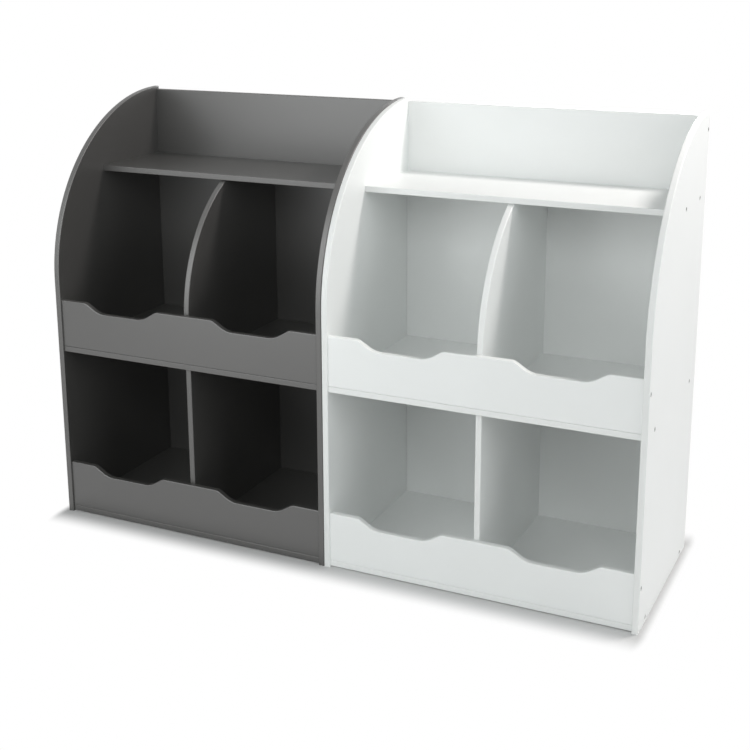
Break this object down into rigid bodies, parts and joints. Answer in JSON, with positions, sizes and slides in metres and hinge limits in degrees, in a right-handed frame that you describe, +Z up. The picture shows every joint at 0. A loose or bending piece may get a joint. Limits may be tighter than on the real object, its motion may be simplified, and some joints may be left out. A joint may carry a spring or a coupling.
{
  "type": "toy storage organizer",
  "caption": "Pair of curved-side children's toy organizers, grey and white, with scalloped bin fronts in two storeys, dividers and a display shelf on top.",
  "frame": {"origin": "on the floor plane, under the middle of the pair of organizers", "axes": "+X along the width from the grey organizer to the white one, +Y from the open fronts to the backs, +Z up"},
  "size_m": [1.2564, 0.391, 0.889],
  "materials": {
    "grey_board": "satin paint on fibreboard",
    "grey_back": "satin paint on thin fibreboard",
    "white_board": "satin paint on fibreboard",
    "white_back": "satin paint on thin fibreboard",
    "screw_steel": "plated steel",
    "dowel_wood": "bare beech"
  },
  "bodies": {
    "root": {"grey_left_side": "grey_board", "grey_right_side": "grey_board", "grey_bottom_shelf": "grey_board", "grey_middle_shelf": "grey_board", "grey_top_shelf": "grey_board", "grey_top_back": "grey_board", "grey_lower_back_panel": "grey_back", "grey_upper_back_panel": "grey_back", "grey_lower_divider": "grey_board", "grey_upper_divider": "grey_board", "grey_lower_front": "grey_board", "grey_upper_front": "grey_board", "grey_left_side_screws": "screw_steel", "grey_right_side_screws": "screw_steel", "grey_divider_screws": "screw_steel", "grey_divider_dowels": "dowel_wood", "grey_front_dowels": "dowel_wood", "grey_top_back_dowels": "dowel_wood", "white_left_side": "white_board", "white_right_side": "white_board", "white_bottom_shelf": "white_board", "white_middle_shelf": "white_board", "white_top_shelf": "white_board", "white_top_back": "white_board", "white_lower_back_panel": "white_back", "white_upper_back_panel": "white_back", "white_lower_divider": "white_board", "white_upper_divider": "white_board", "white_lower_front": "white_board", "white_upper_front": "white_board", "white_left_side_screws": "screw_steel", "white_right_side_screws": "screw_steel", "white_divider_screws": "screw_steel", "white_divider_dowels": "dowel_wood", "white_front_dowels": "dowel_wood", "white_top_back_dowels": "dowel_wood"}
  },
  "joints": []
}
